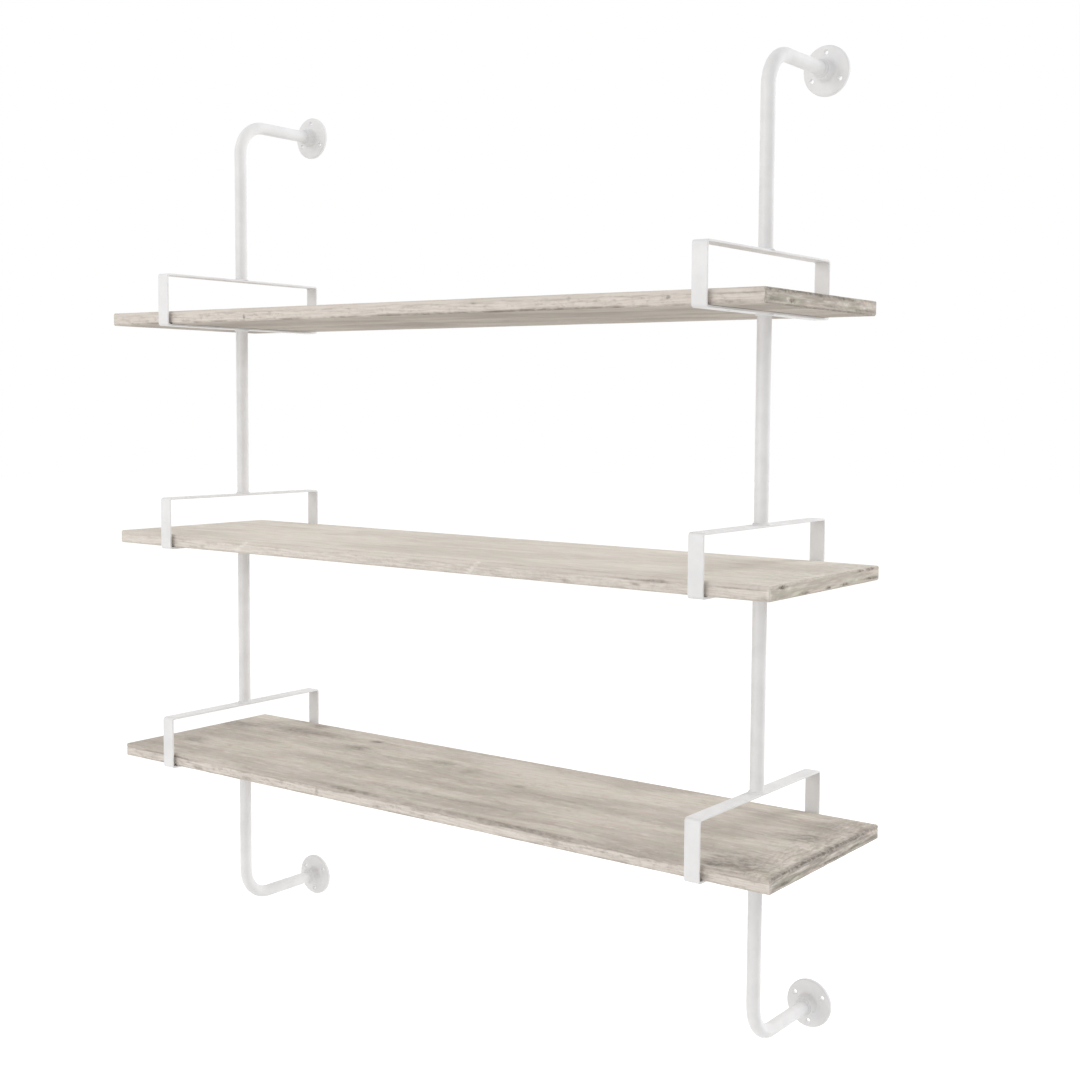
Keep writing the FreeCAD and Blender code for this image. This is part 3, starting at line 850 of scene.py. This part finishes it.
def bead_tree(coat):
    """Geometry nodes: a rippled fillet bead on every point, standing along the point's way."""
    sizes = {"Tube radius": "Float", "Bead leg": "Float", "Ripples": "Int", "Ripple share": "Float"}
    geometry = {"Geometry": "Geometry"}
    tree, nodes, given = start_group("rippled_weld_bead", geometry | sizes, geometry, "GeometryNodeTree")
    grid = nodes.add("GeometryNodeMeshGrid", {
        "Size X": 1.0,
        "Size Y": 1.0,
        "Vertices X": nodes.product(given["Ripples"], BEAD_STEPS_PER_RIPPLE),
        "Vertices Y": BEAD_SECTION_STEPS + 3,
    })
    # The grid's first side goes once round the tube. Its second goes round the bead's section:
    # over the crown from the toe to the tube, down to the corner of tube and bar, and back to the toe.
    spot = nodes.axes(nodes.add("GeometryNodeInputPosition").outputs[0])
    turn = nodes.product(nodes.math("ADD", spot[0], 0.5), math.tau)
    section = nodes.product(nodes.math("ADD", spot[1], 0.5), BEAD_SECTION_STEPS + 2.0)
    crown = nodes.math("DIVIDE", section, float(BEAD_SECTION_STEPS), clamp=True)
    rise = nodes.product(crown, math.pi / 2)
    at_corner = nodes.add("ShaderNodeMath", {
        0: section, 1: BEAD_SECTION_STEPS + 1.0, 2: BEAD_STEP_TOLERANCE,
    }, operation="COMPARE").outputs[0]
    back_at_toe = nodes.math("GREATER_THAN", section, BEAD_SECTION_STEPS + 1.5)
    # Each ripple leans over as it rises.
    lean = nodes.product(rise, BEAD_RIPPLE_LEAN)
    wave = nodes.math("SINE", nodes.math("ADD", nodes.product(turn, given["Ripples"]), lean))
    sunk = nodes.product(nodes.math("ADD", wave, 1.0), 0.5, given["Ripple share"])
    leg = nodes.product(given["Bead leg"], nodes.math("SUBTRACT", 1.0, sunk))
    legs = []
    for operation, at_end in (("COSINE", 1.0), ("SINE", 0.0)):
        positive = nodes.math("MAXIMUM", nodes.math(operation, rise), 0.0)
        curve = nodes.math("POWER", positive, BEAD_CROWN_POWER)
        kept = nodes.product(curve, nodes.math("SUBTRACT", 1.0, at_corner))
        open_share = nodes.product(kept, nodes.math("SUBTRACT", 1.0, back_at_toe))
        share = nodes.math("ADD", open_share, nodes.product(back_at_toe, at_end))
        legs.append(nodes.product(share, leg))
    radius = nodes.math("ADD", given["Tube radius"], legs[0])
    place = nodes.add("ShaderNodeCombineXYZ", {
        0: nodes.product(radius, nodes.math("COSINE", turn)),
        1: nodes.product(radius, nodes.math("SINE", turn)),
        2: legs[1],
    })
    ring = nodes.add("GeometryNodeSetPosition", {
        "Geometry": grid.outputs["Mesh"],
        "Position": place.outputs[0],
    })
    closed = nodes.add("GeometryNodeMergeByDistance", {"Geometry": ring.outputs[0], "Distance": BEAD_SEAM})
    smooth = nodes.add("GeometryNodeSetShadeSmooth", {"Geometry": closed.outputs[0]})
    way = nodes.add("GeometryNodeInputNamedAttribute", {"Name": "way"}, data_type="FLOAT_VECTOR")
    turned = nodes.add("FunctionNodeAlignRotationToVector", {"Vector": way.outputs[0]}, axis="Z")
    spots = nodes.add("GeometryNodeInstanceOnPoints", {
        "Points": given["Geometry"],
        "Instance": smooth.outputs[0],
        "Rotation": turned.outputs[0],
    })
    real = nodes.add("GeometryNodeRealizeInstances", {"Geometry": spots.outputs[0]})
    coated = nodes.add("GeometryNodeSetMaterial", {"Geometry": real.outputs[0], "Material": coat})
    nodes.add("NodeGroupOutput", {"Geometry": coated.outputs[0]})
    return tree


def bead_leg():
    """How far a bead reaches from its corner, read from the box of a CAD bead."""
    low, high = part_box("flange_weld_left_top")
    return high.y - low.y


def bead_places():
    """Where each bead stands and which way it grows, read from the boxes of the CAD beads."""
    places = []
    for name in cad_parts:
        low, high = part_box(name)
        middle = (low + high) / 2
        if name.startswith("weld_beads"):
            places.append((Vector((middle.x, middle.y, high.z - bead_leg())), Vector((0, 0, 1))))
            places.append((Vector((middle.x, middle.y, low.z + bead_leg())), Vector((0, 0, -1))))
        if name.startswith("flange_weld"):
            places.append((Vector((middle.x, high.y, middle.z)), Vector((0, -1, 0))))
    return places


def weld_beads(coat):
    """All the beads as one piece."""
    places = bead_places()
    mesh = bpy.data.meshes.new("weld_beads")
    mesh.from_pydata([place for place, _ in places], [], [])
    ways = mesh.attributes.new("way", "FLOAT_VECTOR", "POINT")
    ways.data.foreach_set("vector", [part for _, way in places for part in way])
    piece = new_object("weld_beads", mesh)
    tree = bead_tree(coat)
    modifier = piece.modifiers.new("beads", "NODES")
    modifier.node_group = tree
    low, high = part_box("post_tube_left_upper")
    sizes = {
        "Tube radius": (high.x - low.x) / 2,
        "Bead leg": bead_leg(),
        "Ripples": BEAD_RIPPLES,
        "Ripple share": BEAD_RIPPLE_SHARE,
    }
    for item in tree.interface.items_tree:
        if item.name in sizes:
            modifier[item.identifier] = sizes[item.name]
    made = bpy.data.meshes.new_from_object(piece.evaluated_get(bpy.context.evaluated_depsgraph_get()))
    piece.modifiers.remove(modifier)
    piece.data = made
    return piece


# Studio

def white_to_camera(nodes):
    """One for rays that show the background: straight to the camera, mirrored or seen through glass."""
    path = nodes.add("ShaderNodeLightPath").outputs
    seen = nodes.math("MAXIMUM", path["Is Camera Ray"], path["Is Glossy Ray"])
    return nodes.math("MAXIMUM", seen, path["Is Transmission Ray"])


def studio_world():
    """Soft light from all sides, before a background that shows as plain white."""
    world = bpy.data.worlds.new("studio_world")
    world.use_nodes = True
    world.node_tree.nodes.clear()
    nodes = Nodes(world.node_tree)
    seen = white_to_camera(nodes)
    tone = nodes.blend(seen, linear(AMBIENT_TONE), WHITE)
    strength = nodes.ramp(seen, 0.0, 1.0, AMBIENT_STRENGTH, 1.0)
    background = nodes.add("ShaderNodeBackground", {"Color": tone, "Strength": strength})
    nodes.add("ShaderNodeOutputWorld", {"Surface": background.outputs[0]})
    bpy.context.scene.world = world


def studio_floor():
    """A wide pale floor, which shows as nearly white and throws light up."""
    material, nodes, shader, _ = new_material(
        "floor_finish",
        Base_Color=linear(FLOOR_TONE),
        Roughness=0.9,
        Specular_IOR_Level=0.0,
        Emission_Color=WHITE,
    )
    nodes.feed(shader.inputs["Emission Strength"], nodes.product(white_to_camera(nodes), FLOOR_GLOW))
    # From below, the floor lets the camera look up through it.
    clear = nodes.add("ShaderNodeBsdfTransparent")
    under = nodes.add("ShaderNodeNewGeometry").outputs["Backfacing"]
    camera_ray = nodes.add("ShaderNodeLightPath").outputs["Is Camera Ray"]
    through = nodes.product(under, camera_ray)
    mixed = nodes.add("ShaderNodeMixShader", {0: through, 1: shader.outputs[0], 2: clear.outputs[0]})
    output = next(node for node in nodes.tree.nodes if node.type == "OUTPUT_MATERIAL")
    nodes.feed(output.inputs["Surface"], mixed.outputs[0])
    half = FLOOR_SIDE / 2
    height = cad_box[0].z - FLOOR_DROP
    mesh = bpy.data.meshes.new("floor")
    corners = [(-half, -half, height), (half, -half, height), (half, half, height), (-half, half, height)]
    mesh.from_pydata(corners, [], [(0, 1, 2, 3)])
    mesh.materials.append(material)
    floor = new_object("floor", mesh)


def soft_lamp(name, place, width, watts, tone, in_gloss):
    """A round lamp, aimed at the shelf."""
    data = bpy.data.lights.new(name, "AREA")
    data.shape = "DISK"
    data.size = width
    data.energy = watts
    data.color = linear(tone)[:3]
    lamp = new_object(name, data)
    lamp.location = place
    lamp.visible_glossy = in_gloss
    lamp.rotation_mode = "QUATERNION"
    lamp.rotation_quaternion = (LIGHT_AIM - place).to_track_quat("-Z", "Y")


def photograph_camera():
    """The camera of the photograph: its place, its turn, its lens, and the picture's middle shifted."""
    azimuth, down, roll = (math.radians(angle) for angle in (VIEW_AZIMUTH, VIEW_DOWN, VIEW_ROLL))
    forward = Vector((
        -math.sin(azimuth) * math.cos(down),
        math.cos(azimuth) * math.cos(down),
        -math.sin(down),
    ))
    level_right = Vector((math.cos(azimuth), math.sin(azimuth), 0))
    level_up = level_right.cross(forward)
    right = level_right * math.cos(roll) + level_up * math.sin(roll)
    up = level_up * math.cos(roll) - level_right * math.sin(roll)
    data = bpy.data.cameras.new("camera")
    data.sensor_width = SENSOR
    data.lens = FOCAL_PIXELS / IMAGE_SIDE * SENSOR
    data.shift_x = 0.5 - PRINCIPAL_POINT[0] / IMAGE_SIDE
    data.shift_y = PRINCIPAL_POINT[1] / IMAGE_SIDE - 0.5
    camera = new_object("camera", data)
    turn = Matrix((right, up, -forward)).transposed().to_4x4()
    camera.matrix_world = Matrix.Translation(CAMERA_PLACE) @ turn
    bpy.context.scene.camera = camera


# The whole scene

coat = powder_coat()
screw_metal = zinc()
for name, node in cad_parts.items():
    finish = screw_metal if name.startswith("board_screws") else coat
    for number in range(len(node.material_slots)):
        node.material_slots[number].material = finish

for level, board in BOARDS.items():
    node = f"shelf_board_{level}"
    low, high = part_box(node)
    piece = weathered_board(f"board_{level}", board, low, high)
    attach(piece, "root")
    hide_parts(node)

beads = weld_beads(coat)
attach(beads, "root")
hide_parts(*[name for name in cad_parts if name.startswith(("weld_beads", "flange_weld"))])

studio_world()
studio_floor()
for lamp, (place, width, watts, tone, in_gloss) in LAMPS.items():
    soft_lamp(lamp, Vector(place), width, watts, tone, in_gloss)
photograph_camera()
bpy.context.scene.view_settings.view_transform = "Standard"
